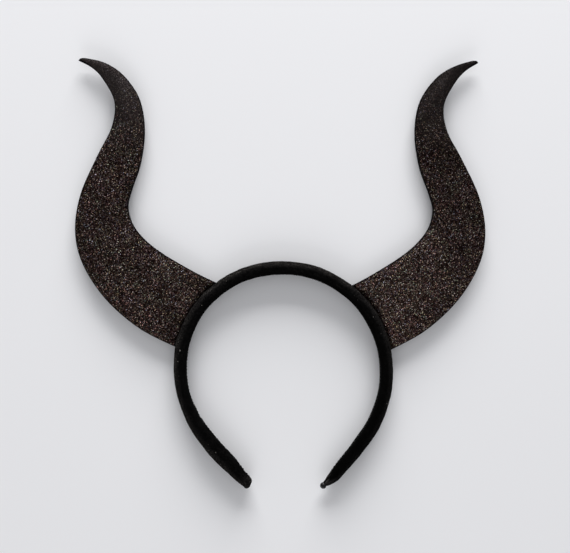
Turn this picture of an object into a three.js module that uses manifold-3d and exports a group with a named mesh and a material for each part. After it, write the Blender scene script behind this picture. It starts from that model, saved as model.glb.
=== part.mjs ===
// Devil horns headband, lying flat on the lower edge of its band.
// Millimetres, +Z up, +Y towards the horn tips. A padded velvet sleeve covers a springy core,
// and a flat horn of two glitter sheets stands out on each side.
import * as THREE from 'three';
import { mergeVertices } from 'three/addons/utils/BufferGeometryUtils.js';
import Module from 'manifold-3d';

const wasm = await Module();
wasm.setup();

// Band: the padded sleeve
const HOOP_RADIUS = 65.8; // from the hoop's centre to the middle of the band at the crown
const BAND_THICKNESS = 8.2; // from the head side to the outer side, at the crown
const BAND_DEPTH = 11.5; // front to back, which is its height as it lies
const HEAD_SIDE_ROUNDING = 2.6; // soft corners that touch the head
const OUTER_SIDE_ROUNDING = 3.9; // fuller corners of the padding
const ROUNDING_STEPS = 4; // on each soft corner
const BAND_STEPS = 76; // from the left end to the right one

// Core: the plastic strip inside the sleeve, with a knob at its right end
const CORE_THICKNESS = 2;
const CORE_DEPTH = 8;
const HEAD_SIDE_WALL = 1.6; // velvet and thin lining between the head and the core
const SLEEVE_CLEARANCE = 0.3; // between the core and the sleeve, all round
const LEFT_END_WALL = 3; // gathered velvet beyond the core at the closed left end
const RIGHT_STRIP_SETBACK = 7; // from the sleeve's right mouth back to where the strip narrows to its neck
const NECK_DIAMETER = 2.2;
const NECK_ROOT = 2; // how far the neck reaches back into the strip
const KNOB_DIAMETER = 4.2;
const KNOB_REACH = 5.8; // from the sleeve's right mouth to the knob's centre
const ROUND_SEGMENTS = 24; // round the neck and the knob

// Horns: two flat sheets each, back to back
const HORN_REACH = 75.9; // sideways, from the root point on the hoop to the horn's widest point
const HORN_RISE = 162.3; // from the root point up to the top of the tip
const ROOT_ANGLE = 57; // where the root point lies on the hoop, in degrees from the crown
const SHEET_THICKNESS = 1.5;
const SHEET_CLEARANCE = 0.3; // between the two sheets
const BACK_TIP_OVERHANG = 1.2; // the back sheet's tip shows past the front one
const INNER_TIP_OVERHANG = 0.72; // the same at the tip's inner corner
const SEAT_DEPTH = 1; // how far the root sinks into the padding
const SEAT_CLEARANCE = 0.3; // between the root and its groove
const GROOVE_END_ROOM = 1; // along the band past the root's slanting ends
const LEFT_RAISE = 2.1; // the hand-set horns don't sit quite level
const RIGHT_RAISE = -2.1;
const EDGE_SEGMENTS = 5; // per row of a horn's edge
const GROOVE_STEPS = 24; // along a horn's root
const ROOT_STEPS = 760; // places along the band that are tested for a horn's root

// Fineness of the working curves and meshes
const COURSE_STEPS = 600;
const WELD_DISTANCE = 0.0001;

// Each arm's rows run from the crown to its end, and the angle turns about the hoop's centre in degrees.
// Radius is a share of HOOP_RADIUS, thickness of BAND_THICKNESS and depth of BAND_DEPTH.
const CROWN = { angle: 0, radius: 1, thickness: 1, depth: 1 };
const LEFT_ARM = [
  { angle: 24, radius: 1.01, thickness: 1, depth: 1 },
  { angle: 50, radius: 1.016, thickness: 0.98, depth: 1 },
  { angle: 76, radius: 1.007, thickness: 0.98, depth: 1 },
  { angle: 100, radius: 0.994, thickness: 0.94, depth: 1 },
  { angle: 120, radius: 0.99, thickness: 1.04, depth: 1 },
  { angle: 136, radius: 1.002, thickness: 1.18, depth: 1 },
  { angle: 148, radius: 1.038, thickness: 1.18, depth: 0.96 },
  { angle: 157, radius: 1.1, thickness: 0.95, depth: 0.8 },
  { angle: 163, radius: 1.155, thickness: 0.72, depth: 0.6 },
];
const RIGHT_ARM = [
  { angle: 24, radius: 1, thickness: 1, depth: 1 },
  { angle: 50, radius: 1.002, thickness: 0.98, depth: 1 },
  { angle: 76, radius: 1.006, thickness: 0.98, depth: 1 },
  { angle: 100, radius: 1.014, thickness: 0.95, depth: 1 },
  { angle: 120, radius: 1.024, thickness: 0.98, depth: 1 },
  { angle: 136, radius: 1.045, thickness: 0.97, depth: 1 },
  { angle: 147, radius: 1.085, thickness: 0.92, depth: 0.96 },
  { angle: 154, radius: 1.127, thickness: 0.78, depth: 0.78 },
  { angle: 157.5, radius: 1.152, thickness: 0.52, depth: 0.5 },
];

// Both edges of the horn pattern, from the root point.
// Up is a share of HORN_RISE and out a share of HORN_REACH.
const HORN_OUTER_EDGE = [
  { up: -0.14, out: 0.15 },
  { up: -0.06, out: 0.475 },
  { up: 0.06, out: 0.76 },
  { up: 0.2, out: 0.945 },
  { up: 0.33, out: 1 },
  { up: 0.47, out: 0.95 },
  { up: 0.62, out: 0.805 },
  { up: 0.73, out: 0.685 },
  { up: 0.83, out: 0.66 },
  { up: 0.92, out: 0.757 },
  { up: 0.965, out: 0.847 },
  { up: 0.993, out: 0.942 },
];
const HORN_INNER_EDGE = [
  { up: 0.998, out: 0.945 },
  { up: 1, out: 0.89 },
  { up: 0.98, out: 0.725 },
  { up: 0.93, out: 0.575 },
  { up: 0.84, out: 0.45 },
  { up: 0.72, out: 0.41 },
  { up: 0.59, out: 0.445 },
  { up: 0.48, out: 0.525 },
  { up: 0.41, out: 0.555 },
  { up: 0.33, out: 0.495 },
  { up: 0.25, out: 0.325 },
  { up: 0.16, out: 0.015 },
  { up: 0.1, out: -0.245 },
];

const velvet = new THREE.MeshStandardMaterial({ color: '#0d0a10', roughness: 0.95, metalness: 0 });
const blackPlastic = new THREE.MeshStandardMaterial({ color: '#17161a', roughness: 0.45, metalness: 0 });
const glitterSheet = new THREE.MeshStandardMaterial({ color: '#2c2624', roughness: 0.55, metalness: 0.2 });

// The band's course from the left end over the crown to the right end
const stations = [
  ...LEFT_ARM.map((row) => ({ ...row, angle: -row.angle })).reverse(),
  CROWN,
  ...RIGHT_ARM,
];

function onCircle(degrees, radius) {
  const angle = THREE.MathUtils.degToRad(degrees);
  return new THREE.Vector3(radius * Math.sin(angle), radius * Math.cos(angle), 0);
}

const courseLine = new THREE.CatmullRomCurve3(
  stations.map((row) => onCircle(row.angle, row.radius * HOOP_RADIUS)),
  false,
  'centripetal',
);
const shareLine = new THREE.CatmullRomCurve3(
  stations.map((row) => new THREE.Vector3(row.thickness, row.depth, 0)),
  false,
  'catmullrom',
);
courseLine.arcLengthDivisions = COURSE_STEPS;
const courseLength = courseLine.getLength();

// The middle, outward direction and shares of the band at a place along it, from 0 at the left end to 1
function bandAt(along) {
  const place = THREE.MathUtils.clamp(along, 0, 1);
  const tangent = courseLine.getTangentAt(place);
  const middle = courseLine.getPointAt(place);
  const shares = shareLine.getPoint(courseLine.getUtoTmapping(place));
  const outward = new THREE.Vector3(-tangent.y, tangent.x, 0);
  return { middle, tangent, outward, thickness: shares.x, depth: Math.min(1, shares.y) };
}

// A point of the band: so far outward from its middle, at a height above its mid depth
function bandPoint(along, outward, height) {
  const band = bandAt(along);
  const point = band.middle.clone().addScaledVector(band.outward, outward);
  point.z = BAND_DEPTH / 2 + height;
  return point;
}

function outerFace(along) {
  return (bandAt(along).thickness * BAND_THICKNESS) / 2;
}

// Solids and meshes
function toSolid(geometry) {
  const bare = geometry.clone();
  bare.deleteAttribute('normal');
  bare.deleteAttribute('uv');
  const merged = mergeVertices(bare, WELD_DISTANCE);
  const mesh = new wasm.Mesh({
    numProp: 3,
    vertProperties: new Float32Array(merged.attributes.position.array),
    triVerts: new Uint32Array(merged.index.array),
  });
  return new wasm.Manifold(mesh);
}

function toMesh(name, solid, material) {
  const result = solid.getMesh();
  const geometry = new THREE.BufferGeometry();
  geometry.setAttribute('position', new THREE.BufferAttribute(result.vertProperties, 3));
  geometry.setIndex(new THREE.BufferAttribute(result.triVerts, 1));
  geometry.computeVertexNormals();
  const mesh = new THREE.Mesh(geometry, material);
  mesh.name = name;
  return mesh;
}

function extrudeBetween(shape, low, high, curveSegments) {
  const geometry = new THREE.ExtrudeGeometry(shape, {
    depth: high - low,
    bevelEnabled: false,
    curveSegments,
  });
  geometry.translate(0, 0, low);
  return toSolid(geometry);
}

// A rectangle with its own rounding at each side, across the band from head side to outer side
function roundedSection(width, height, headRounding, outerRounding) {
  const half = height / 2;
  const inner = -width / 2;
  const outer = width / 2;
  const shape = new THREE.Shape();
  shape.moveTo(inner + headRounding, -half);
  shape.lineTo(outer - outerRounding, -half);
  shape.absarc(outer - outerRounding, -half + outerRounding, outerRounding, -Math.PI / 2, 0, false);
  shape.lineTo(outer, half - outerRounding);
  shape.absarc(outer - outerRounding, half - outerRounding, outerRounding, 0, Math.PI / 2, false);
  shape.lineTo(inner + headRounding, half);
  shape.absarc(inner + headRounding, half - headRounding, headRounding, Math.PI / 2, Math.PI, false);
  shape.lineTo(inner, -half + headRounding);
  shape.absarc(inner + headRounding, -half + headRounding, headRounding, Math.PI, Math.PI * 1.5, false);
  return shape;
}

// Extrudes a section and bends it along the band from one place to another. Steps are closer at the ends.
function bendAlongBand(section, from, to, placeVertex) {
  const geometry = new THREE.ExtrudeGeometry(section, {
    depth: 1,
    steps: BAND_STEPS,
    bevelEnabled: false,
    curveSegments: ROUNDING_STEPS / 2, // an arc is split into twice as many
  });
  const positions = geometry.attributes.position;
  for (let i = 0; i < positions.count; i += 1) {
    const eased = (1 - Math.cos(Math.PI * positions.getZ(i))) / 2;
    const along = THREE.MathUtils.lerp(from, to, eased);
    const point = placeVertex(along, positions.getX(i), positions.getY(i));
    positions.setXYZ(i, point.x, point.y, point.z);
  }
  return toSolid(geometry);
}

function bandSolid() {
  const section = roundedSection(BAND_THICKNESS, BAND_DEPTH, HEAD_SIDE_ROUNDING, OUTER_SIDE_ROUNDING);
  return bendAlongBand(section, 0, 1, (along, across, height) => {
    const band = bandAt(along);
    return bandPoint(along, across * band.thickness, height * band.depth);
  });
}

// The strip, or the room for it when it is grown by the clearance. Its section is one unit tall at first.
const coreStart = LEFT_END_WALL / courseLength;
const coreEnd = 1 - RIGHT_STRIP_SETBACK / courseLength;
const coreOffset = HEAD_SIDE_WALL + SLEEVE_CLEARANCE + (CORE_THICKNESS - BAND_THICKNESS) / 2;

function stripSolid(growth) {
  const longer = growth / courseLength;
  const section = new THREE.Shape();
  const halfWidth = CORE_THICKNESS / 2 + growth;
  section.moveTo(-halfWidth, -0.5);
  section.lineTo(halfWidth, -0.5);
  section.lineTo(halfWidth, 0.5);
  section.lineTo(-halfWidth, 0.5);
  return bendAlongBand(section, coreStart - longer, coreEnd + longer, (along, across, height) => {
    const band = bandAt(along);
    const slimming = Math.min(1, band.thickness);
    const fullHeight = CORE_DEPTH * band.depth + 2 * growth;
    return bandPoint(along, coreOffset * slimming + across, height * fullHeight);
  });
}

// The round neck from the strip's end through the sleeve's mouth, or the room for it
function neckSolid(growth, reach) {
  const root = coreEnd - NECK_ROOT / courseLength;
  const start = bandPoint(root, coreOffset * bandAt(coreEnd).thickness, 0);
  const mouth = bandAt(1);
  const finish = bandPoint(1, 0, 0).addScaledVector(mouth.tangent, reach);
  const direction = finish.clone().sub(start);
  const radius = NECK_DIAMETER / 2 + growth;
  const geometry = new THREE.CylinderGeometry(radius, radius, direction.length(), ROUND_SEGMENTS);
  const turn = new THREE.Quaternion().setFromUnitVectors(
    new THREE.Vector3(0, 1, 0),
    direction.clone().normalize(),
  );
  geometry.applyQuaternion(turn);
  geometry.translate((start.x + finish.x) / 2, (start.y + finish.y) / 2, (start.z + finish.z) / 2);
  return toSolid(geometry);
}

function knobSolid() {
  const centre = bandPoint(1, 0, 0).addScaledVector(bandAt(1).tangent, KNOB_REACH);
  const geometry = new THREE.SphereGeometry(KNOB_DIAMETER / 2, ROUND_SEGMENTS, ROUND_SEGMENTS / 2);
  geometry.translate(centre.x, centre.y, centre.z);
  return toSolid(geometry);
}

// Horn pattern of one side. The root lies inside the band and is cut back to its groove afterwards.
function hornPoint(side, raise, row) {
  const root = onCircle(ROOT_ANGLE, HOOP_RADIUS);
  const x = root.x + row.out * HORN_REACH;
  const y = root.y + row.up * HORN_RISE + raise;
  return new THREE.Vector2(side * x, y);
}

const noOverhang = { outer: 0, inner: 0 };
const backOverhang = { outer: BACK_TIP_OVERHANG, inner: INNER_TIP_OVERHANG };

function hornShape(side, raise, overhang) {
  const outer = HORN_OUTER_EDGE.map((row) => hornPoint(side, raise, row));
  const inner = HORN_INNER_EDGE.map((row) => hornPoint(side, raise, row));
  outer[outer.length - 1].x += side * overhang.outer;
  inner[0].x += side * overhang.inner;
  const shape = new THREE.Shape();
  shape.moveTo(outer[0].x, outer[0].y);
  shape.splineThru(outer.slice(1));
  shape.lineTo(inner[0].x, inner[0].y);
  shape.splineThru(inner.slice(1));
  shape.closePath();
  return shape;
}

const stackLow = BAND_DEPTH / 2 - SHEET_THICKNESS - SHEET_CLEARANCE / 2;
const stackHigh = BAND_DEPTH / 2 + SHEET_THICKNESS + SHEET_CLEARANCE / 2;

function isInside(point, outline) {
  let inside = false;
  outline.forEach((a, i) => {
    const b = outline[(i + 1) % outline.length];
    const crosses = a.y > point.y !== b.y > point.y;
    if (crosses && point.x < a.x + ((point.y - a.y) * (b.x - a.x)) / (b.y - a.y)) {
      inside = !inside;
    }
  });
  return inside;
}

// The stretch of the band that a horn's root covers, at the outer face or at the bottom of its groove
function rootStretch(side, raise) {
  const outline = hornShape(side, raise, noOverhang).getPoints(EDGE_SEGMENTS);
  const covered = [];
  for (let i = 0; i <= ROOT_STEPS; i += 1) {
    const along = i / ROOT_STEPS;
    const insets = [0, SEAT_DEPTH];
    if (insets.some((inset) => isInside(bandPoint(along, outerFace(along) - inset, 0), outline))) {
      covered.push(along);
    }
  }
  return { start: Math.min(...covered), end: Math.max(...covered) };
}

// A ribbon along the band between two distances from its outer face, counted outward
function faceRibbon(start, end, nearer, farther) {
  const places = [];
  for (let i = 0; i <= GROOVE_STEPS; i += 1) {
    places.push(THREE.MathUtils.lerp(start, end, i / GROOVE_STEPS));
  }
  const near = places.map((along) => bandPoint(along, outerFace(along) + nearer, 0));
  const far = places.map((along) => bandPoint(along, outerFace(along) + farther, 0)).reverse();
  return new THREE.Shape([...near, ...far].map((point) => new THREE.Vector2(point.x, point.y)));
}

function grooveSolid(side, raise) {
  const stretch = rootStretch(side, raise);
  const room = GROOVE_END_ROOM / courseLength;
  const shape = faceRibbon(stretch.start - room, stretch.end + room, -SEAT_DEPTH, SEAT_DEPTH);
  return extrudeBetween(shape, stackLow - SEAT_CLEARANCE, stackHigh + SEAT_CLEARANCE, 1);
}

function hornSheet(side, raise, overhang, low) {
  const high = low + SHEET_THICKNESS;
  const blank = extrudeBetween(hornShape(side, raise, overhang), low, high, EDGE_SEGMENTS);
  const stretch = rootStretch(side, raise);
  const beyond = BAND_THICKNESS / courseLength;
  const seatLine = SEAT_CLEARANCE - SEAT_DEPTH;
  const wellInside = -HOOP_RADIUS / 2;
  const insideBand = faceRibbon(stretch.start - beyond, stretch.end + beyond, wellInside, seatLine);
  return blank.subtract(extrudeBetween(insideBand, low - SHEET_THICKNESS, high + SHEET_THICKNESS, 1));
}

const headband = new THREE.Group();
const core = stripSolid(0).add(neckSolid(0, KNOB_REACH)).add(knobSolid());
headband.add(toMesh('hoop_core', core, blackPlastic));

const grooves = grooveSolid(-1, LEFT_RAISE).add(grooveSolid(1, RIGHT_RAISE));
const hollow = stripSolid(SLEEVE_CLEARANCE).add(neckSolid(SLEEVE_CLEARANCE, KNOB_REACH));
headband.add(toMesh('velvet_cover', bandSolid().subtract(hollow).subtract(grooves), velvet));

const horns = [
  { name: 'horn_left', side: -1, raise: LEFT_RAISE },
  { name: 'horn_right', side: 1, raise: RIGHT_RAISE },
];
const sheets = [
  { layer: 'back', low: stackLow, overhang: backOverhang },
  { layer: 'front', low: stackHigh - SHEET_THICKNESS, overhang: noOverhang },
];
horns.forEach((horn) => {
  sheets.forEach((sheet) => {
    const solid = hornSheet(horn.side, horn.raise, sheet.overhang, sheet.low);
    headband.add(toMesh(`${horn.name}_${sheet.layer}`, solid, glitterSheet));
  });
});

// The origin is under the middle of the whole outline, on the surface that the band lies on
const outline = new THREE.Box3().setFromObject(headband);
const centre = outline.getCenter(new THREE.Vector3());
headband.position.set(-centre.x, -centre.y, -outline.min.z);

export default headband;
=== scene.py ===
# %% [markdown]
# # A velvet headband with glitter horns
# The exact solids of the headband come first, as a fixed frame. Every soft or sparkling surface is then
# dressed over that frame, in metres, so each new piece lands where the solid part says it is.

# %% Load the solid frame
import math
from collections import namedtuple

import bmesh
import bpy
import numpy as np
from mathutils import Matrix, Vector, noise
from mathutils.bvhtree import BVHTree


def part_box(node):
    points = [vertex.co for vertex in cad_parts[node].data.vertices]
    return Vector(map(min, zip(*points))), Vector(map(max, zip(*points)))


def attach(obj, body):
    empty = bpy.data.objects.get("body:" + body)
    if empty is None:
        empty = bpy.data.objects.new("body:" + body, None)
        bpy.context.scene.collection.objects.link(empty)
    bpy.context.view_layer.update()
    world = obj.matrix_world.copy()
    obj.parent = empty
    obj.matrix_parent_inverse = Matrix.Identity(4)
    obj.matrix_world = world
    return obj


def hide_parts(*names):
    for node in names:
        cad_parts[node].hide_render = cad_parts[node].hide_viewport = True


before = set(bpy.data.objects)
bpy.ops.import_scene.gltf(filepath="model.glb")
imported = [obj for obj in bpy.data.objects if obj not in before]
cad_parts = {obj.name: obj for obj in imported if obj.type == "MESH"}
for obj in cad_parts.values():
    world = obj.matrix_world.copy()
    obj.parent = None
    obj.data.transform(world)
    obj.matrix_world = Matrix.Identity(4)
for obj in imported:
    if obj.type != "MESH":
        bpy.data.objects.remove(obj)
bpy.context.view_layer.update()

MM = 0.001

# %% [markdown]
# ## The camera
# The headband lies flat and is seen from straight above, from a little more than half a metre. A lens of
# 57 mm on a 36 mm sensor keeps both horns in the frame and shows a sliver of the band's inner wall.

# %% Hang the camera over the headband
bpy.ops.object.camera_add(
    location=(-14.2 * MM, -1.8 * MM, 582.8 * MM),
    rotation=(0, math.radians(-1.6), math.radians(-0.69)),
)
camera = bpy.context.object
camera.name = "overhead_camera"
camera.data.lens = 56.97
camera.data.sensor_width = 36
bpy.context.scene.camera = camera
print("camera height:", round(camera.location.z / MM), "mm")

# %% [markdown]
# ## Floor and light
# A pale matt floor carries the headband. The main light is a broad, low window beyond the horn tips: it
# throws a long soft shadow into the hoop, and the pale room fills the rest from all sides. Low light suits
# velvet, because it catches the pile from the side and leaves the hollows dark.

# %% Small helpers for colour and nodes
def linear(hex_code):
    """Turns an sRGB hex colour into the linear values that Blender's sockets hold."""
    parts = [int(hex_code[i : i + 2], 16) / 255 for i in (1, 3, 5)]
    return (*[c / 12.92 if c <= 0.04045 else ((c + 0.055) / 1.055) ** 2.4 for c in parts], 1)


def add_node(tree, kind, values=None, links=None, **settings):
    """Adds one node, with its own settings, its socket values and the links that feed it."""
    node = tree.nodes.new("ShaderNode" + kind)
    for name, value in settings.items():
        setattr(node, name, value)
    for socket, value in (values or {}).items():
        node.inputs[socket].default_value = value
    for socket, source in (links or {}).items():
        tree.links.new(source, node.inputs[socket])
    return node


def new_material(name):
    """A material with an empty node tree."""
    material = bpy.data.materials.new(name)
    material.use_nodes = True
    material.node_tree.nodes.clear()
    return material, material.node_tree


def set_ramp(ramp, stops, interpolation="LINEAR"):
    """Writes a colour ramp from (position, hex colour) stops."""
    ramp.interpolation = interpolation
    while len(ramp.elements) < len(stops):
        ramp.elements.new(0.5)
    for element, (position, hex_code) in zip(ramp.elements, stops):
        element.position = position
        element.color = linear(hex_code)


# %% Lay the floor
bpy.ops.object.select_all(action="DESELECT")
bpy.ops.mesh.primitive_plane_add(size=8, location=(0, 0, 0))
floor = bpy.context.object
floor.name = "pale_floor"
floor_paint, tree = new_material("matt_floor_paint")
paint = add_node(tree, "BsdfPrincipled", {"Base Color": linear("#eeeef0"), "Roughness": 0.9})
add_node(tree, "OutputMaterial", links={"Surface": paint.outputs[0]})
floor.data.materials.append(floor_paint)

# %% Set the lamps and the surroundings
Lamp = namedtuple("Lamp", "name place width height power")
LAMPS = [
    Lamp("window_lamp", (0.15, 2.4, 0.78), 2.0, 1.1, 100),
    Lamp("room_fill", (-0.2, -1.8, 0.9), 1.6, 1.0, 10),
]
for lamp in LAMPS:
    bpy.ops.object.light_add(type="AREA", location=lamp.place)
    light = bpy.context.object
    light.name = lamp.name
    light.data.shape = "RECTANGLE"
    light.data.size = lamp.width
    light.data.size_y = lamp.height
    light.data.energy = lamp.power
    light.rotation_euler = (-Vector(lamp.place)).to_track_quat("-Z", "Y").to_euler()

world = bpy.data.worlds.new("pale_room")
world.use_nodes = True
world.node_tree.nodes["Background"].inputs["Color"].default_value = linear("#f4f5f8")
world.node_tree.nodes["Background"].inputs["Strength"].default_value = 0.42
bpy.context.scene.world = world
bpy.context.scene.view_settings.view_transform = "Standard"
print("lamps:", [lamp.name for lamp in LAMPS])

# %% [markdown]
# ## The band's course
# The band bends round in a hoop that is open at the bottom. Its line is known from a few rows for each arm,
# the same ones that the solid part follows: the angle from the crown, and then the distance from the hoop's
# centre, the thickness and the depth as shares of the sizes at the crown. A smooth line through those rows
# gives a middle point and an outward direction anywhere along the band. The hoop's centre is read from the
# frame: it lies under the top of the crown by the hoop's radius and half the band's thickness.

# %% Write down the band's rows
HOOP_RADIUS = 65.8  # mm
BAND_THICKNESS = 8.2
BAND_DEPTH = 11.5
crown_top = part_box("velvet_cover")[1].y / MM
HOOP_CENTRE = np.array([0, crown_top - HOOP_RADIUS - BAND_THICKNESS / 2])
print("hoop centre:", HOOP_CENTRE.round(3))
Row = namedtuple("Row", "angle radius thickness depth")
LEFT_ARM = [
    Row(24, 1.01, 1, 1),
    Row(50, 1.016, 0.98, 1),
    Row(76, 1.007, 0.98, 1),
    Row(100, 0.994, 0.94, 1),
    Row(120, 0.99, 1.04, 1),
    Row(136, 1.002, 1.18, 1),
    Row(148, 1.038, 1.18, 0.96),
    Row(157, 1.1, 0.95, 0.8),
    Row(163, 1.155, 0.72, 0.6),
]
RIGHT_ARM = [
    Row(24, 1, 1, 1),
    Row(50, 1.002, 0.98, 1),
    Row(76, 1.006, 0.98, 1),
    Row(100, 1.014, 0.95, 1),
    Row(120, 1.024, 0.98, 1),
    Row(136, 1.045, 0.97, 1),
    Row(147, 1.085, 0.92, 0.96),
    Row(154, 1.127, 0.78, 0.78),
    Row(157.5, 1.152, 0.52, 0.5),
]
band_rows = [r._replace(angle=-r.angle) for r in LEFT_ARM[::-1]] + [Row(0, 1, 1, 1)] + RIGHT_ARM


# %% Draw a smooth line through the rows
def smooth_line(points, by_distance, steps=60):
    """A curve through the points. by_distance eases it by the gaps between them, which avoids loops."""
    p = np.vstack([2 * points[0] - points[1], points, 2 * points[-1] - points[-2]])
    pieces = []
    for i in range(1, len(p) - 2):
        gaps = np.linalg.norm(np.diff(p[i - 1 : i + 3], axis=0), axis=1) ** 0.5 if by_distance else np.ones(3)
        a, b, c, d = p[i - 1 : i + 3]
        leave = ((b - a) / gaps[0] - (c - a) / (gaps[0] + gaps[1]) + (c - b) / gaps[1]) * gaps[1]
        arrive = ((c - b) / gaps[1] - (d - b) / (gaps[1] + gaps[2]) + (d - c) / gaps[2]) * gaps[1]
        w = np.linspace(0, 1, steps, endpoint=False)[:, None]
        cubic = (-3 * b + 3 * c - 2 * leave - arrive) * w**2 + (2 * b - 2 * c + leave + arrive) * w**3
        pieces.append(b + leave * w + cubic)
    return np.vstack([*pieces, points[-1][None]])


turns = np.radians([r.angle for r in band_rows])
reach = np.array([r.radius for r in band_rows])[:, None] * HOOP_RADIUS
course = smooth_line(HOOP_CENTRE + reach * np.stack([np.sin(turns), np.cos(turns)], 1), True)
shares = smooth_line(np.array([[r.thickness, r.depth] for r in band_rows], float), False)
walked = np.concatenate([[0], np.cumsum(np.linalg.norm(np.diff(course, axis=0), axis=1))])
BAND_LENGTH = walked[-1]
print("band length:", round(BAND_LENGTH, 1), "mm")


# %% Read the band anywhere along its length
MOUTH_REACH = 4.4  # mm: the gathered right end runs out over the core's neck
Mouth = namedtuple("Mouth", "beyond thickness depth outward")
RIGHT_MOUTH = [  # mm
    Mouth(-12, 7.4, 10.7, 0),
    Mouth(-7, 7.3, 9.7, 0.35),
    Mouth(-3.4, 6.9, 8.1, 0.6),
    Mouth(0, 5.4, 6.0, 0.5),
    Mouth(2.5, 4.0, 4.2, 0.4),
    Mouth(MOUTH_REACH, 3.0, 3.1, 0.1),
]


def band_at(along):
    """Middle points, outward directions and sizes at distances in mm from the left end."""
    middle = np.stack([np.interp(along, walked, course[:, k]) for k in (0, 1)], 1)
    inner = np.clip(along, 0.5, BAND_LENGTH - 0.5)
    ahead = np.stack([np.interp(inner + 0.5, walked, course[:, k]) for k in (0, 1)], 1)
    behind = np.stack([np.interp(inner - 0.5, walked, course[:, k]) for k in (0, 1)], 1)
    heading = ahead - behind
    heading /= np.linalg.norm(heading, axis=1)[:, None]
    middle += heading * np.maximum(0, along - BAND_LENGTH)[:, None]
    outward = np.stack([-heading[:, 1], heading[:, 0]], 1)
    thickness = BAND_THICKNESS * np.interp(along, walked, shares[:, 0])
    depth = BAND_DEPTH * np.minimum(1, np.interp(along, walked, shares[:, 1]))
    at_mouth = along > BAND_LENGTH + RIGHT_MOUTH[0].beyond
    beyond = [m.beyond + BAND_LENGTH for m in RIGHT_MOUTH]
    thickness = np.where(at_mouth, np.interp(along, beyond, [m.thickness for m in RIGHT_MOUTH]), thickness)
    depth = np.where(at_mouth, np.interp(along, beyond, [m.depth for m in RIGHT_MOUTH]), depth)
    middle += outward * np.interp(along, beyond, [m.outward for m in RIGHT_MOUTH])[:, None]
    return middle, outward, thickness, depth


def along_band(places):
    """For places in mm, the distance along the band and how far outward of its middle they lie."""
    steps = np.arange(0, BAND_LENGTH, 0.5)
    middle, outward, thickness, depth = band_at(steps)
    nearest = np.array([np.argmin(np.sum((middle - p) ** 2, axis=1)) for p in places])
    offset = np.sum((places - middle[nearest]) * outward[nearest], axis=1)
    return steps[nearest], offset


# %% [markdown]
# ## The padded velvet sleeve
# The real band is a plastic strip wrapped in foam and slipped into a velvet sleeve. The sleeve is full on its
# outer side, closes in a hand seam on the head side, is folded over and gathered at the left end, and narrows
# to a tight mouth at the right end. The shape follows the band's course so closely that it is swept in code:
# a rounded section is set at each step and every point is then pushed in or out for the seam, the gathers,
# the slots of the horns and the small unevenness of hand work.

# %% Draw the section of the padding
RING_POINTS = 96
HEAD_ROUNDING = 2.6  # mm
OUTER_ROUNDING = 3.9


def padded_section():
    """Points (across, height) in mm round the section from the seam, evenly spaced, and their normals."""
    half_w, half_h = BAND_THICKNESS / 2, BAND_DEPTH / 2
    corners = [
        (-half_w + HEAD_ROUNDING, -half_h + HEAD_ROUNDING, HEAD_ROUNDING, 180),
        (half_w - OUTER_ROUNDING, -half_h + OUTER_ROUNDING, OUTER_ROUNDING, 270),
        (half_w - OUTER_ROUNDING, half_h - OUTER_ROUNDING, OUTER_ROUNDING, 0),
        (-half_w + HEAD_ROUNDING, half_h - HEAD_ROUNDING, HEAD_ROUNDING, 90),
    ]
    line = [(-half_w, 0)]
    for x, y, radius, start in corners:
        sweep = np.radians(np.linspace(start, start + 90, 24))
        line += [(x + radius * math.cos(t), y + radius * math.sin(t)) for t in sweep]
    line = np.array([*line, (-half_w, 0)])
    gone = np.concatenate([[0], np.cumsum(np.linalg.norm(np.diff(line, axis=0), axis=1))])
    even = np.linspace(0, gone[-1], RING_POINTS, endpoint=False)
    ring = np.stack([np.interp(even, gone, line[:, k]) for k in (0, 1)], 1)
    side = np.roll(ring, -1, axis=0) - np.roll(ring, 1, axis=0)
    side /= np.linalg.norm(side, axis=1)[:, None]
    return ring, np.stack([side[:, 1], -side[:, 0]], 1), even / gone[-1], gone[-1]


ring, ring_normal, ring_share, RING_LENGTH = padded_section()
print("round the section:", round(RING_LENGTH, 1), "mm in", RING_POINTS, "points")


# %% Find the slots that the horns' roots sit in
Slot = namedtuple("Slot", "start end")
STACK_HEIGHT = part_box("horn_left_front")[1].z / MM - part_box("horn_left_back")[0].z / MM
slots = []
for side_name in ("left", "right"):
    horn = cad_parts[f"horn_{side_name}_front"]
    places = np.array([v.co[:2] for v in horn.data.vertices]) / MM
    along, offset = along_band(places)
    middle, outward, thickness, depth = band_at(along)
    seated = along[(offset < thickness / 2 + 0.05) & (offset > 0)]
    slots.append(Slot(seated.min(), seated.max()))
print("slots:", [(round(s.start, 1), round(s.end, 1)) for s in slots], "mm along")
print("stack of two sheets:", round(STACK_HEIGHT, 1), "mm")


# %% Push the velvet in and out
def rise(value, low, high):
    """0 below low, 1 above high, and a soft step between."""
    t = np.clip((value - low) / (high - low), 0, 1)
    return t * t * (3 - 2 * t)


def lumps(along, share, length, seed, rounds=2.0):
    """Smooth unevenness, about length mm long, that closes on itself round the section."""
    points = np.broadcast_arrays(along, share)
    turn = 2 * math.pi * points[1]
    x, y, z = points[0] / length, np.cos(turn) * rounds / 2 + seed, np.sin(turn) * rounds / 2
    flat = [noise.noise(Vector(p)) for p in zip(x.ravel(), y.ravel(), z.ravel())]
    return np.array(flat).reshape(x.shape)


STITCH_GAP = 2.3  # mm between the seam's stitches
Fold = namedtuple("Fold", "ledge reach lift")
FOLDS = [Fold(51.5, 30, 0.45), Fold(62.0, 8, 0.30)]  # mm: the velvet is folded over twice on the left arm
SLOT_DEPTH = 0.95
SLOT_ROOM = 0.8  # mm along the band, beyond each end of a horn's root


def stitch_pull(along):
    """1 at each stitch of the seam and 0 halfway between two."""
    return 0.5 + 0.5 * np.cos(2 * math.pi * along / STITCH_GAP)


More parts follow.
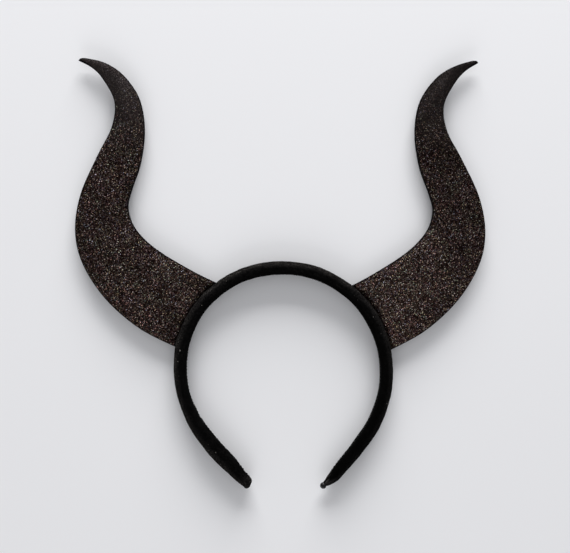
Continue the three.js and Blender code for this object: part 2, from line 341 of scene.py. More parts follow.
def seam_relief(along, around):
    """The upper edge of the velvet laps over the lower one, pulled in at each stitch."""
    pull = stitch_pull(along)
    lower_arms = np.maximum(1 - rise(along, 78, 120), rise(along, BAND_LENGTH - 80, BAND_LENGTH - 45))
    edge = 0.9 - 0.7 * pull
    sewn = rise(along, 2, 6) * (1 - rise(along, BAND_LENGTH - 7, BAND_LENGTH - 2))
    flap = (1 - rise(around, edge - 0.3, edge + 0.3)) * rise(around, -7, -1.5)
    near_seam = np.exp(-((around / 1.9) ** 2))
    puff = (0.30 + 0.30 * lower_arms) * (1 - 0.8 * pull * near_seam)
    pinch = 0.3 * pull * np.exp(-((around / 1.2) ** 2))
    return (flap * puff - pinch) * sewn


def end_relief(along, share):
    """Pleats at the gathered left end, a tie-in behind them, and tucks where the right end narrows."""
    fan = 2 * math.pi * share
    pleats = np.cos(9 * fan + 2.2 * lumps(along, share, 12, 1.7)) + 0.5 * np.cos(5 * fan + 1)
    out = 0.17 * pleats * (1 - rise(along, 3, 11))
    tied = along - 6.2 - 2.1 * np.cos(fan)
    out = out - 0.36 * np.exp(-((tied / 0.8) ** 2)) * (0.7 + 0.3 * np.cos(fan))
    crinkle = np.cos(2 * math.pi * along / 2.1 + 3 * lumps(along, share, 5, 2.9))
    out = out + (0.19 + 0.1 * np.cos(fan)) * crinkle * (1 - rise(along, 5, 9))
    tucks = np.cos(7 * fan + 1.5 * lumps(along, share, 9, 7.7))
    out = out + 0.26 * tucks * rise(along, BAND_LENGTH - 8, BAND_LENGTH + 1)
    return out


def slot_relief(along, share, height, out):
    """Opens a slot for each horn's root, with lips that swell a little where the sheets push them apart."""
    wall = STACK_HEIGHT / 2 + 0.3
    outer_side = np.exp(-(((share - 0.5) * RING_LENGTH / 6) ** 2))
    for slot in slots:
        low, high = slot.start - SLOT_ROOM, slot.end + SLOT_ROOM
        inside = rise(along, low - 0.5, low) * (1 - rise(along, high, high + 0.5))
        near = rise(along, slot.start - 5, slot.start) * (1 - rise(along, slot.end, slot.end + 5))
        puckers = 0.55 * lumps(along, share, 7.5, 6.6, 1) + 0.25 * lumps(along, share, 3.2, 9.1, 1)
        out = out + near * outer_side * (0.2 + puckers)
        level = np.abs(height)
        mouth = inside * (1 - rise(level, wall, wall + 0.35)) * (share > 0.25) * (share < 0.75)
        out = out * (1 - mouth) - SLOT_DEPTH * mouth
    return out


def velvet_relief(along, share, height):
    """How far in mm each point of the sleeve stands out from the plain padding."""
    around = np.where(share < 0.5, share, share - 1) * RING_LENGTH  # mm from the seam, negative above it
    head_side = 0.5 + 0.5 * np.cos(2 * math.pi * share)
    out = 0.24 * lumps(along, share, 17, 3.1) + 0.16 * lumps(along, share, 6, 8.4, 5)
    out = out + 0.10 * lumps(along, share, 2.2, 4.3, 12)
    out = out + seam_relief(along, around) + end_relief(along, share)
    for fold in FOLDS:
        edge = fold.ledge + 3 * np.sin(2 * math.pi * share) + 0.8 * lumps(along * 0, share, 9, fold.ledge, 6)
        folded = (1 - rise(along, edge - 0.4, edge + 0.4)) * rise(along, edge - fold.reach, edge)
        out = out + fold.lift * head_side**2 * folded
    return slot_relief(along, share, height, out)


# %% Sweep the sleeve
SWELL_ROOM = 0.3  # mm that the padding may swell above the band's depth
END_DOME = 2.0  # mm: the left end rounds over in this length
END_SLANT = 0.9  # mm: its outer corner reaches this much further than its inner one
MOUTH_DOME = 0.8
BODY_RINGS = 900
CAP_RINGS = 9


def cap_steps(reach):
    """Distances from an end, closer together where it rounds over."""
    return reach * (1 - np.cos(np.linspace(0.1, math.pi / 2, CAP_RINGS)))


def sweep_sleeve():
    """Rings of points along the band, in metres, with how far along each one is."""
    end = BAND_LENGTH + MOUTH_REACH
    body = np.linspace(0, end, BODY_RINGS)
    body = body[(body > END_DOME) & (body < end - MOUTH_DOME)]
    along = np.concatenate([cap_steps(END_DOME), body, end - cap_steps(MOUTH_DOME)[::-1]])
    middle, outward, thickness, depth = band_at(along)
    cap = 1 - np.minimum(1, along / END_DOME)
    lip = 1 - np.minimum(1, (end - along) / MOUTH_DOME)
    swell = (1 - cap**2.7) ** (1 / 2.7) * (1 - 0.2 * lip**2)
    a, s = along[:, None], ring_share[None, :]
    thick, deep = (thickness / BAND_THICKNESS)[:, None], (depth / BAND_DEPTH)[:, None]
    relief = velvet_relief(a, s, ring[None, :, 1] * deep) * swell[:, None]
    across = ring[None, :, 0] * thick * swell[:, None] + relief * ring_normal[None, :, 0]
    up = ring[None, :, 1] * deep * swell[:, None] + relief * ring_normal[None, :, 1]
    up = np.clip(up, -BAND_DEPTH / 2, BAND_DEPTH / 2 + SWELL_ROOM)
    back = END_SLANT * (1 - rise(a, 0, 9)) * (0.5 + ring[None, :, 0] / BAND_THICKNESS)
    heading = np.stack([outward[:, 1], -outward[:, 0]], 1)
    points = np.zeros((len(along), RING_POINTS, 3))
    points[..., :2] = middle[:, None, :] + outward[:, None, :] * across[..., None]
    points[..., :2] -= heading[:, None, :] * back[..., None]
    points[..., 2] = BAND_DEPTH / 2 + up
    return points * MM, along


def skin_rings(name, rings, along):
    """Joins rings of points into a closed skin whose UV is the distance along and the distance round."""
    skin = bmesh.new()
    uv = skin.loops.layers.uv.new("along_and_round")
    grid = [[skin.verts.new(p) for p in ring_points] for ring_points in rings]
    poles = [skin.verts.new(rings[i].mean(axis=0)) for i in (0, -1)]
    around = np.arange(RING_POINTS + 1) / RING_POINTS * RING_LENGTH * MM

    def add_face(corners, places):
        face = skin.faces.new(corners)
        face.smooth = True
        for loop, place in zip(face.loops, places):
            loop[uv].uv = place

    for j in range(RING_POINTS):
        k = (j + 1) % RING_POINTS
        for i in range(len(rings) - 1):
            here, there = along[i] * MM, along[i + 1] * MM
            add_face(
                (grid[i][j], grid[i][k], grid[i + 1][k], grid[i + 1][j]),
                ((here, around[j]), (here, around[j + 1]), (there, around[j + 1]), (there, around[j])),
            )
        for pole, row, far in ((poles[0], grid[0], along[0]), (poles[1], grid[-1], along[-1])):
            places = ((far * MM, around[j + 1]), (far * MM, around[j]), (far * MM, around[j]))
            add_face((row[k], row[j], pole), places)
    bmesh.ops.recalc_face_normals(skin, faces=skin.faces)
    mesh = bpy.data.meshes.new(name)
    skin.to_mesh(mesh)
    skin.free()
    return mesh


sleeve_rings, sleeve_along = sweep_sleeve()
sleeve_mesh = skin_rings("velvet_sleeve", sleeve_rings, sleeve_along)
sleeve = bpy.data.objects.new("velvet_sleeve", sleeve_mesh)
bpy.context.collection.objects.link(sleeve)
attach(sleeve, "root")
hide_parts("velvet_cover")
print("sleeve:", len(sleeve_mesh.polygons), "faces")

# %% [markdown]
# ## The hand seam
# The sleeve is closed by hand with whip stitches of black thread: each one comes out below the lap, runs
# aslant over its edge and goes back in above. One stitch is a small ring of thread, half of it inside the
# velvet, and it is copied along the seam and laid into the dimple that the sleeve has there.

# %% Sew one stitch and copy it along the seam
STITCH_SLANT = math.radians(32)
STITCH_REACH = 0.85  # mm
THREAD_RADIUS = 0.15

bpy.ops.object.select_all(action="DESELECT")
bpy.ops.mesh.primitive_torus_add(
    major_radius=STITCH_REACH * MM, minor_radius=THREAD_RADIUS * MM, major_segments=12, minor_segments=5
)
pattern_stitch = bpy.context.object
bpy.ops.object.shade_smooth()
seam_along = np.arange(2 * STITCH_GAP, BAND_LENGTH - 5, STITCH_GAP)
middle, outward, thickness, depth = band_at(seam_along)
lift = velvet_relief(seam_along[:, None], np.zeros((1, 1)), np.zeros((1, 1)))[:, 0]
stitches = []
for spot, out, thick, rise_here in zip(middle, outward, thickness, lift):
    into_head = Vector((-out[0], -out[1], 0))
    run = Vector((out[1], -out[0], 0))
    across_seam = Vector((0, 0, 1)) * math.cos(STITCH_SLANT) + run * math.sin(STITCH_SLANT)
    turned = Matrix((into_head, across_seam, into_head.cross(across_seam))).transposed().to_4x4()
    centre = Vector((spot[0], spot[1], BAND_DEPTH / 2)) + into_head * (thick / 2 + rise_here - 0.45)
    thread = pattern_stitch.data.copy()
    thread.transform(Matrix.Translation(centre * MM) @ turned)
    piece = bpy.data.objects.new("stitch", thread)
    bpy.context.collection.objects.link(piece)
    stitches.append(piece)
bpy.data.objects.remove(pattern_stitch)


def join_pieces(pieces, name):
    """Joins pieces into one object with a plain name."""
    bpy.ops.object.select_all(action="DESELECT")
    for piece in pieces:
        piece.select_set(True)
    bpy.context.view_layer.objects.active = pieces[0]
    bpy.ops.object.join()
    joined = bpy.context.object
    joined.name = name
    joined.data.name = name
    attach(joined, "root")
    return joined


seam = join_pieces(stitches, "seam_stitches")
print("stitches:", len(stitches))

# %% Spin the thread
# Three-ply polyester thread, satin black, its plies lying aslant across it every third of a millimetre
sewing_thread, tree = new_material("black_polyester_thread")
body = add_node(tree, "TexCoord")
plies = add_node(
    tree,
    "TexWave",
    {"Scale": 1 / (0.9 * MM), "Distortion": 1.5},
    {"Vector": body.outputs["Object"]},
    bands_direction="DIAGONAL",
)
ply_tint = add_node(tree, "ValToRGB", links={0: plies.outputs["Fac"]})
set_ramp(ply_tint.color_ramp, [(0.2, "#08070a"), (0.8, "#1c1a1f")])
ply_bump = add_node(tree, "Bump", {"Strength": 0.6, "Distance": 0.05 * MM}, {"Height": plies.outputs["Fac"]})
twist = add_node(
    tree,
    "BsdfPrincipled",
    {"Roughness": 0.5, "IOR": 1.5, "Sheen Weight": 0.1, "Sheen Roughness": 0.4},
    {"Base Color": ply_tint.outputs[0], "Normal": ply_bump.outputs[0]},
)
add_node(tree, "OutputMaterial", links={"Surface": twist.outputs[0]})
seam.data.materials.append(sewing_thread)

# %% [markdown]
# ## Velvet
# Polyester velvet is a knit with a dense cut pile about a millimetre tall. It drinks light when one looks
# straight into the pile and brightens at a glancing angle, which Blender's sheen gives. The outer side is
# painted lighter and the head side darker, a painted sheen and painted shade, in soft streaks that run
# aslant.

# %% Weave the velvet
velvet, tree = new_material("black_polyester_velvet")
place = add_node(tree, "UVMap", uv_map="along_and_round")
apart = add_node(tree, "SeparateXYZ", links={0: place.outputs["UV"]})
# Painted sheen and shade: 0 at the seam, 1 on the outer side, from the distance round the section
turn = add_node(
    tree, "Math", {1: 2 * math.pi / (RING_LENGTH * MM)}, {0: apart.outputs["Y"]}, operation="MULTIPLY"
)
outer = add_node(tree, "Math", links={0: turn.outputs[0]}, operation="COSINE")
outer_sheen_share = add_node(
    tree,
    "MapRange",
    {"From Min": 0.02, "From Max": -0.62, "To Min": 0.17, "To Max": 1.0},
    {"Value": outer.outputs[0]},
    interpolation_type="SMOOTHSTEP",
)
# The painted sheen is weaker down the right arm, so that arm is painted darker
right_arm_sheen_share = add_node(
    tree,
    "MapRange",
    {"From Min": 200 * MM, "From Max": 330 * MM, "To Min": 1.0, "To Max": 0.4},
    {"Value": apart.outputs["X"]},
)
lit_share = add_node(
    tree, "Math", links={0: outer_sheen_share.outputs[0], 1: right_arm_sheen_share.outputs[0]}, operation="MULTIPLY"
)
# Brushed streaks: 9 mm long along the band and 2.5 mm across, turned aslant
slant = add_node(
    tree,
    "Mapping",
    {"Rotation": (0, 0, math.radians(28)), "Scale": (110, 400, 1)},
    {"Vector": place.outputs["UV"]},
)
streaks = add_node(
    tree, "TexNoise", {"Scale": 1.0, "Detail": 3.0, "Roughness": 0.55}, {"Vector": slant.outputs[0]}
)
streak_share = add_node(
    tree,
    "MapRange",
    {"From Min": 0.36, "From Max": 0.66, "To Min": 0.45, "To Max": 1.0},
    {"Value": streaks.outputs["Fac"]},
)
# Tufts that lean over show their paler sides. Real ones stand about 0.5 mm apart, and these are drawn at
# 0.8 mm, because finer ones blur away from half a metre up.
body = add_node(tree, "TexCoord")
tufts = add_node(
    tree,
    "TexNoise",
    {"Scale": 1 / (0.8 * MM), "Detail": 3.0, "Roughness": 0.8},
    {"Vector": body.outputs["Object"]},
)
leaning = add_node(
    tree,
    "MapRange",
    {"From Min": 0.40, "From Max": 0.64, "To Min": 0.0, "To Max": 1.1},
    {"Value": tufts.outputs["Fac"]},
)
# Painted highlights where the ends are gathered: the velvet is painted paler there
left_end_highlight = add_node(
    tree,
    "MapRange",
    {"From Min": 13 * MM, "From Max": 4 * MM, "To Min": 0.0, "To Max": 0.8},
    {"Value": apart.outputs["X"]},
)
right_end_highlight = add_node(
    tree,
    "MapRange",
    {"From Min": (BAND_LENGTH - 5) * MM, "From Max": (BAND_LENGTH + 1) * MM, "To Min": 0.0, "To Max": 1.1},
    {"Value": apart.outputs["X"]},
)
# The painted sheen and the painted highlights at the ends, broken up by the streaks and the tufts
paler = add_node(tree, "Math", links={0: lit_share.outputs[0], 1: left_end_highlight.outputs[0]}, operation="MAXIMUM")
streaked_sheen = add_node(tree, "Math", links={0: paler.outputs[0], 1: streak_share.outputs[0]}, operation="MULTIPLY")
sheen_on_tufts = add_node(tree, "Math", links={0: streaked_sheen.outputs[0], 1: leaning.outputs[0]}, operation="MULTIPLY")
# Where the right end is pulled tight, painted highlights on its pleats run in strokes along the band
drawn_out = add_node(tree, "Mapping", {"Scale": (130, 1500, 1)}, {"Vector": place.outputs["UV"]})
strokes = add_node(tree, "TexNoise", {"Scale": 1.0, "Detail": 1.0}, {"Vector": drawn_out.outputs[0]})
stroke_share = add_node(
    tree, "MapRange", {"From Min": 0.48, "From Max": 0.64}, {"Value": strokes.outputs["Fac"]}
)
pleat_stroke_highlights = add_node(
    tree, "Math", links={0: stroke_share.outputs[0], 1: right_end_highlight.outputs[0]}, operation="MULTIPLY"
)
pale = add_node(tree, "Math", links={0: sheen_on_tufts.outputs[0], 1: pleat_stroke_highlights.outputs[0]}, operation="MAXIMUM")
tint = add_node(tree, "ValToRGB", links={0: pale.outputs[0]})
set_ramp(tint.color_ramp, [(0, "#010101"), (0.2, "#131212"), (0.5, "#1f1d1c"), (1, "#43403e")])
crush = add_node(
    tree, "TexNoise", {"Scale": 1 / (2.6 * MM), "Detail": 2.0}, {"Vector": body.outputs["Object"]}
)
pile = add_node(
    tree, "Math", {1: 0.6}, {0: tufts.outputs["Fac"], 2: crush.outputs["Fac"]}, operation="MULTIPLY_ADD"
)
nap = add_node(tree, "Bump", {"Strength": 0.7, "Distance": 0.5 * MM}, {"Height": pile.outputs[0]})
cloth = add_node(
    tree,
    "BsdfPrincipled",
    {
        "Roughness": 0.95,
        "Specular IOR Level": 0.02,
        "Sheen Weight": 0.025,
        "Sheen Roughness": 0.28,
        "Sheen Tint": linear("#a9a6a3"),
    },
    {"Base Color": tint.outputs[0], "Normal": nap.outputs[0]},
)
add_node(tree, "OutputMaterial", links={"Surface": cloth.outputs[0]})
sleeve_mesh.materials.append(velvet)

# %% [markdown]
# ## The horns' sheets
# Each horn is two sheets of glitter-coated felt, cut with a blade to one pattern and laid back to back. The
# solid sheets have the right outline, so a merged copy of each is used, its flat faces joined up and its cut
# edges rounded by a small bevel: real felt never ends in a razor-sharp corner. The right horn's tip hooks up
# a little more than the left one's, so its end is pulled over by a soft selection.


# %% Copy a solid and round its cut edges
MERGE_DISTANCE = 0.002 * MM
RIM_ROUNDING = 0.55 * MM


def merged_copy(node, name):
    """A copy of a solid's mesh as one connected surface, named as its own piece."""
    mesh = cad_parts[node].data.copy()
    mesh.name = name
    mesh.materials.clear()
    piece = bpy.data.objects.new(name, mesh)
    bpy.context.collection.objects.link(piece)
    bpy.ops.object.select_all(action="DESELECT")
    piece.select_set(True)
    bpy.context.view_layer.objects.active = piece
    bpy.ops.mesh.customdata_custom_splitnormals_clear()
    bpy.ops.object.mode_set(mode="EDIT")
    bpy.ops.mesh.select_all(action="SELECT")
    bpy.ops.mesh.remove_doubles(threshold=MERGE_DISTANCE)
    bpy.ops.mesh.normals_make_consistent(inside=False)
    bpy.ops.object.mode_set(mode="OBJECT")
    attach(piece, "root")
    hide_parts(node)
    return piece


def select_in_edit(piece, kind, test):
    """In edit mode, selects only the faces or edges that pass the test."""
    bpy.ops.mesh.select_mode(type=kind)
    bpy.ops.mesh.select_all(action="DESELECT")
    mesh = bmesh.from_edit_mesh(piece.data)
    parts = mesh.faces if kind == "FACE" else mesh.edges
    for part in parts:
        part.select = test(part)
    mesh.select_flush_mode()
    bmesh.update_edit_mesh(piece.data)
    return sum(part.select for part in parts)


def is_rim(edge):
    """True where a flat face meets the cut wall."""
    flats = [abs(face.normal.z) > 0.9 for face in edge.link_faces]
    return len(flats) == 2 and any(flats) and not all(flats)


def round_sheet(piece, radius):
    """Joins up the flat faces and rounds the rim."""
    bpy.ops.object.mode_set(mode="EDIT")
    select_in_edit(piece, "FACE", lambda face: abs(face.normal.z) > 0.9)
    bpy.ops.mesh.dissolve_limited(angle_limit=math.radians(1))
    rim = select_in_edit(piece, "EDGE", is_rim)
    bpy.ops.mesh.bevel(offset=radius, segments=2, affect="EDGES")
    bpy.ops.object.mode_set(mode="OBJECT")
    bpy.ops.object.shade_smooth_by_angle(angle=math.radians(50))
    return rim


TIP_ZONE = 125 * MM  # a horn has only its tip beyond this far up
TIP_PULL = (0.3 * MM, 1.3 * MM, 0)  # outwards and away from the band, at the very tip
TIP_REACH = 15 * MM  # from the tip back to where the sheet keeps its place


def lift_tip(piece):
    """Bends the end of a horn a little further away from the band."""
    tip = max(v.co.x for v in piece.data.vertices if v.co.y > TIP_ZONE)
    bpy.ops.object.mode_set(mode="EDIT")
    bpy.ops.mesh.select_mode(type="VERT")
    bpy.ops.mesh.select_all(action="DESELECT")
    mesh = bmesh.from_edit_mesh(piece.data)
    for vertex in mesh.verts:
        vertex.select = vertex.co.y > TIP_ZONE and vertex.co.x > tip - 0.5 * MM
    bmesh.update_edit_mesh(piece.data)
    bpy.ops.transform.translate(
        value=TIP_PULL,
        use_proportional_edit=True,
        proportional_edit_falloff="LINEAR",
        proportional_size=TIP_REACH,
    )
    bpy.ops.object.mode_set(mode="OBJECT")


sheets = {}
for side_name in ("left", "right"):
    for layer in ("front", "back"):
        node = f"horn_{side_name}_{layer}"
        sheets[node] = merged_copy(node, f"{node}_sheet")
        rim = round_sheet(sheets[node], RIM_ROUNDING)
        if side_name == "right":
            lift_tip(sheets[node])
        print(sheets[node].name, "rim edges:", rim, "faces:", len(sheets[node].data.polygons))

# %% [markdown]
# ## Glitter on felt
# The coating is a crowd of tiny foil flakes in a clear binder. Each flake mirrors the room at its own angle,
# so most look dark and a few flash silver, rose or gold. A cell pattern gives each flake a tint and a tilt of
# its own, and its brightest tints are painted glints. Real flakes are about 0.4 mm wide. The cut walls show
# the plain black felt.

# %% Scatter the foil flakes
FLAKE = 0.42 * MM
glitter, tree = new_material("glitter_coated_felt")
body = add_node(tree, "TexCoord")
cells = add_node(
    tree,
    "TexVoronoi",
    {"Scale": 1 / FLAKE, "Randomness": 1.0},
    {"Vector": body.outputs["Object"]},
    voronoi_dimensions="2D",
)
chance = add_node(tree, "SeparateColor", links={0: cells.outputs["Color"]})
tints = add_node(tree, "ValToRGB", links={0: chance.outputs[0]})
# Flake tones from near black to near white: partly the flakes' own tones, partly painted glints
FLAKE_TONES_AND_GLINTS = [
    (0.0, "#0b0707"),
    (0.28, "#221a19"),
    (0.55, "#383030"),
    (0.76, "#544d4c"),
    (0.87, "#6a6667"),
    (0.92, "#898280"),
    (0.955, "#a6a29f"),
    (0.985, "#e0dcda"),
]
set_ramp(tints.color_ramp, FLAKE_TONES_AND_GLINTS, "CONSTANT")
# Coverage is thicker in some places than in others, over a few centimetres
cover = add_node(
    tree, "TexNoise", {"Scale": 1 / (28 * MM), "Detail": 2.0}, {"Vector": body.outputs["Object"]}
)
cover_share = add_node(
    tree,
    "MapRange",
    {"From Min": 0.35, "From Max": 0.65, "To Min": 0.75, "To Max": 1.15},
    {"Value": cover.outputs["Fac"]},
)
covered = add_node(
    tree, "VectorMath", links={0: tints.outputs[0], "Scale": cover_share.outputs[0]}, operation="SCALE"
)
# Most flakes are silver, and some are rose, gold, olive or blue
hues = add_node(tree, "ValToRGB", links={0: chance.outputs[1]})
FLAKE_HUES = [(0.0, "#ffd2cb"), (0.2, "#fff6f2"), (0.55, "#ffeccb"), (0.72, "#dcebd6"), (0.88, "#d3dcf5")]
set_ramp(hues.color_ramp, FLAKE_HUES, "CONSTANT")
hued = add_node(tree, "VectorMath", links={0: covered.outputs[0], 1: hues.outputs[0]}, operation="MULTIPLY")
# Batches of flakes lean towards rose here and towards olive there
batch = add_node(tree, "TexNoise", {"Scale": 1 / (9 * MM), "Detail": 3.0}, {"Vector": body.outputs["Object"]})
batch_tint = add_node(tree, "ValToRGB", links={0: batch.outputs["Fac"]})
set_ramp(batch_tint.color_ramp, [(0.35, "#fff0f3"), (0.65, "#f7f8ec")])
batched = add_node(
    tree, "VectorMath", links={0: hued.outputs[0], 1: batch_tint.outputs[0]}, operation="MULTIPLY"
)
# Towards the tips the painted glints fade, and the coat there is painted almost even
apart = add_node(tree, "SeparateXYZ", links={0: body.outputs["Object"]})
tip_glint_fade = add_node(
    tree,
    "MapRange",
    {"From Min": 75 * MM, "From Max": 125 * MM, "To Min": 0.0, "To Max": 0.85},
    {"Value": apart.outputs["Y"]},
)
flake_colour = add_node(
    tree,
    "Mix",
    {7: linear("#3a3535")},
    {0: tip_glint_fade.outputs[0], 6: batched.outputs[0]},
    data_type="RGBA",
)
# The binder shows dark between neighbouring flakes
gaps = add_node(
    tree,
    "TexVoronoi",
    {"Scale": 1 / FLAKE, "Randomness": 1.0},
    {"Vector": body.outputs["Object"]},
    voronoi_dimensions="2D",
    feature="DISTANCE_TO_EDGE",
)
gap_share = add_node(
    tree,
    "MapRange",
    {"From Min": 0.02, "From Max": 0.09, "To Min": 0.12, "To Max": 1.15},
    {"Value": gaps.outputs["Distance"]},
)
# Painted shade: the coat is painted darker towards the tips, more so on the right horn
left_horn_shade = add_node(
    tree,
    "MapRange",
    {"From Min": -30 * MM, "From Max": 130 * MM, "To Min": 1.2, "To Max": 0.72},
    {"Value": apart.outputs["Y"]},
)
right_horn_shade = add_node(
    tree,
    "MapRange",
    {"From Min": -30 * MM, "From Max": 130 * MM, "To Min": 1.5, "To Max": 0.4},
    {"Value": apart.outputs["Y"]},
)
is_right = add_node(tree, "Math", {1: 0.0}, {0: apart.outputs["X"]}, operation="GREATER_THAN")
horn_tip_shade = add_node(
    tree, "Mix", links={0: is_right.outputs[0], 2: left_horn_shade.outputs[0], 3: right_horn_shade.outputs[0]}
)
# Painted shade beside the band, where the velvet's lips stand over the coat, along a wavering line
from_hoop = add_node(
    tree,
    "VectorMath",
    {1: (HOOP_CENTRE[0] * MM, HOOP_CENTRE[1] * MM, 0)},
    {0: body.outputs["Object"]},
    operation="SUBTRACT",
)
flat_from_hoop = add_node(tree, "VectorMath", {1: (1, 1, 0)}, {0: from_hoop.outputs[0]}, operation="MULTIPLY")
hoop_distance = add_node(tree, "VectorMath", links={0: flat_from_hoop.outputs[0]}, operation="LENGTH")
waver = add_node(tree, "TexNoise", {"Scale": 1 / (4 * MM), "Detail": 2.0}, {"Vector": body.outputs["Object"]})
wavering = add_node(
    tree,
    "Math",
    {1: 4 * MM},
    {0: waver.outputs["Fac"], 2: hoop_distance.outputs["Value"]},
    operation="MULTIPLY_ADD",
)
band_shade_share = add_node(
    tree,
    "MapRange",
    {"From Min": 73.2 * MM, "From Max": 75 * MM, "To Min": 0.12, "To Max": 1.0},
    {"Value": wavering.outputs[0]},
)
painted_shade_share = add_node(
    tree, "Math", links={0: band_shade_share.outputs[0], 1: horn_tip_shade.outputs[0]}, operation="MULTIPLY"
)
bright_share = add_node(
    tree, "Math", links={0: gap_share.outputs[0], 1: painted_shade_share.outputs[0]}, operation="MULTIPLY"
)
foil_colour = add_node(
    tree,
    "VectorMath",
    links={0: flake_colour.outputs[2], "Scale": bright_share.outputs[0]},
    operation="SCALE",
)
# Each flake leans up to 20 degrees in its own direction
lean = add_node(tree, "VectorMath", {1: (0.5, 0.5, 0.5)}, {0: cells.outputs["Color"]}, operation="SUBTRACT")
lean_flat = add_node(tree, "VectorMath", {1: (0.5, 0.5, 0.0)}, {0: lean.outputs[0]}, operation="MULTIPLY")
surface = add_node(tree, "NewGeometry")
tilted = add_node(
    tree, "VectorMath", links={0: surface.outputs["Normal"], 1: lean_flat.outputs[0]}, operation="ADD"
)
flake_normal = add_node(tree, "VectorMath", links={0: tilted.outputs[0]}, operation="NORMALIZE")
fibres = add_node(
    tree, "TexNoise", {"Scale": 1 / (0.25 * MM), "Detail": 3.0}, {"Vector": body.outputs["Object"]}
)
felt_tint = add_node(tree, "ValToRGB", links={0: fibres.outputs["Fac"]})
set_ramp(felt_tint.color_ramp, [(0.3, "#070608"), (0.7, "#141214")])
felt_bump = add_node(
    tree, "Bump", {"Strength": 0.5, "Distance": 0.15 * MM}, {"Height": fibres.outputs["Fac"]}
)
# The coat lies on the flat faces and stops at the cut. A Mix node takes vectors in its sockets 4 and 5 and
# colours in 6 and 7.
facing = add_node(tree, "SeparateXYZ", links={0: surface.outputs["True Normal"]})
flatness = add_node(tree, "Math", links={0: facing.outputs["Z"]}, operation="ABSOLUTE")
is_coated = add_node(tree, "Math", {1: 0.97}, {0: flatness.outputs[0]}, operation="GREATER_THAN")
sheet_colour = add_node(
    tree,
    "Mix",
    links={0: is_coated.outputs[0], 6: felt_tint.outputs[0], 7: foil_colour.outputs[0]},
    data_type="RGBA",
)
sheet_normal = add_node(
    tree,
    "Mix",
    links={0: is_coated.outputs[0], 4: felt_bump.outputs[0], 5: flake_normal.outputs[0]},
    data_type="VECTOR",
)
foil_metal = add_node(tree, "Math", {1: 0.8}, {0: is_coated.outputs[0]}, operation="MULTIPLY")
dullness = add_node(tree, "MapRange", {"To Min": 0.95, "To Max": 0.45}, {"Value": is_coated.outputs[0]})
coated = add_node(
    tree,
    "BsdfPrincipled",
    {"Specular IOR Level": 0.2, "Specular Tint": linear("#5a5452")},
    {
        "Base Color": sheet_colour.outputs[2],
        "Metallic": foil_metal.outputs[0],
        "Roughness": dullness.outputs[0],
        "Normal": sheet_normal.outputs[1],
    },
)
add_node(tree, "OutputMaterial", links={"Surface": coated.outputs[0]})
for sheet_piece in sheets.values():
    sheet_piece.data.materials.append(glitter)
print("flake tints:", len(FLAKE_TONES_AND_GLINTS))

# %% [markdown]
# ## Flakes that fell on the velvet
# Glitter sheds. A few loose flakes cling to the band, most of them near the horns and a few down the arms.
# Each is a thin hexagon of foil about 0.6 mm wide, dropped straight down on the pile and left leaning a
# little.

# %% Drop the loose flakes
Fallen = namedtuple("Fallen", "along outward")
Stretch = namedtuple("Stretch", "start end flakes")
SHED_STRETCHES = [Stretch(15, 40, 3), Stretch(85, 105, 4), Stretch(305, 325, 2)]  # mm along the band
SHED_STRETCHES += [Stretch(slot.start - 6, slot.end + 6, 6) for slot in slots]
LOOSE_WIDTH = 0.6 * MM
LOOSE_THICKNESS = 0.06 * MM

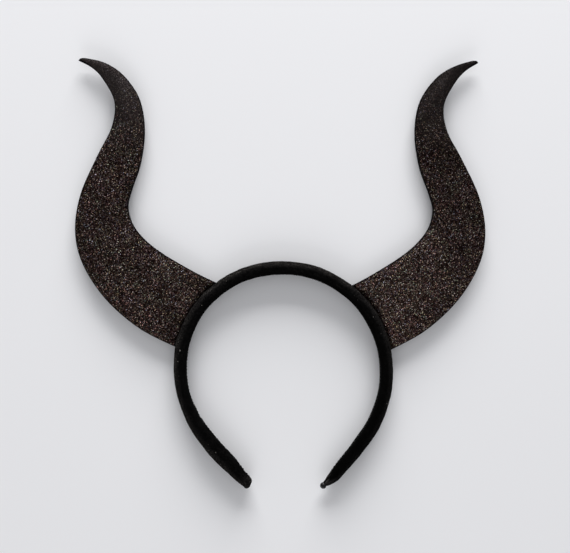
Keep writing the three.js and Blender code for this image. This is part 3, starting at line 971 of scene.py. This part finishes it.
seed = np.random.default_rng(7)
fallen = []
for stretch in SHED_STRETCHES:
    for place in seed.uniform(stretch.start, stretch.end, stretch.flakes):
        fallen.append(Fallen(place, seed.uniform(-0.5, 3.0)))
sleeve_tree = BVHTree.FromPolygons(
    [v.co[:] for v in sleeve_mesh.vertices], [p.vertices[:] for p in sleeve_mesh.polygons]
)
bpy.ops.object.select_all(action="DESELECT")
bpy.ops.mesh.primitive_cylinder_add(vertices=6, radius=LOOSE_WIDTH / 2, depth=LOOSE_THICKNESS)
pattern_flake = bpy.context.object
middle, outward, thickness, depth = band_at(np.array([f.along for f in fallen]))
loose = []
for spot, out, flake in zip(middle, outward, fallen):
    above = Vector((*((spot + out * flake.outward) * MM), BAND_DEPTH * 2 * MM))
    landing, normal, index, distance = sleeve_tree.ray_cast(above, Vector((0, 0, -1)))
    if landing is None:
        continue
    lean = Vector((*seed.uniform(-0.35, 0.35, 2), 0))
    turn = (normal + lean).to_track_quat("Z", "Y").to_matrix().to_4x4()
    foil_bit = pattern_flake.data.copy()
    rest = landing + normal * LOOSE_THICKNESS
    spin = Matrix.Rotation(seed.uniform(0, 1), 4, "Z") @ Matrix.Scale(seed.uniform(0.75, 1.1), 4)
    foil_bit.transform(Matrix.Translation(rest) @ turn @ spin)
    piece = bpy.data.objects.new("flake", foil_bit)
    bpy.context.collection.objects.link(piece)
    loose.append(piece)
bpy.data.objects.remove(pattern_flake)
shed = join_pieces(loose, "shed_flakes")
print("loose flakes:", len(loose))

# %% Metallise the loose flakes
loose_foil, tree = new_material("aluminised_polyester_flake")
body = add_node(tree, "TexCoord")
hue = add_node(tree, "TexNoise", {"Scale": 1 / (1.7 * MM), "Detail": 0.0}, {"Vector": body.outputs["Object"]})
hue_tint = add_node(tree, "ValToRGB", links={0: hue.outputs["Fac"]})
set_ramp(hue_tint.color_ramp, [(0.38, "#3a3633"), (0.5, "#625c54"), (0.64, "#a09c97")])
leaf = add_node(
    tree, "BsdfPrincipled", {"Metallic": 0.8, "Roughness": 0.35}, {"Base Color": hue_tint.outputs[0]}
)
add_node(tree, "OutputMaterial", links={"Surface": leaf.outputs[0]})
shed.data.materials.append(loose_foil)

# %% [markdown]
# ## The core's knob
# The springy strip inside the sleeve is injection-moulded plastic. The sleeve's gathered mouth covers its
# neck, so only the round knob stands out of the right end, satin black with a soft highlight.

# %% Finish the core
core = merged_copy("hoop_core", "core_strip_and_knob")
bpy.ops.object.shade_smooth_by_angle(angle=math.radians(40))
moulded, tree = new_material("moulded_black_acetal")
body = add_node(tree, "TexCoord")
skin = add_node(
    tree, "TexNoise", {"Scale": 1 / (0.5 * MM), "Detail": 3.0}, {"Vector": body.outputs["Object"]}
)
skin_tint = add_node(tree, "ValToRGB", links={0: skin.outputs["Fac"]})
set_ramp(skin_tint.color_ramp, [(0.3, "#070608"), (0.7, "#111013")])
skin_bump = add_node(tree, "Bump", {"Strength": 0.15, "Distance": 0.05 * MM}, {"Height": skin.outputs["Fac"]})
plastic = add_node(
    tree,
    "BsdfPrincipled",
    {"Roughness": 0.22, "IOR": 1.48, "Specular IOR Level": 0.3},
    {"Base Color": skin_tint.outputs[0], "Normal": skin_bump.outputs[0]},
)
add_node(tree, "OutputMaterial", links={"Surface": plastic.outputs[0]})
core.data.materials.append(moulded)
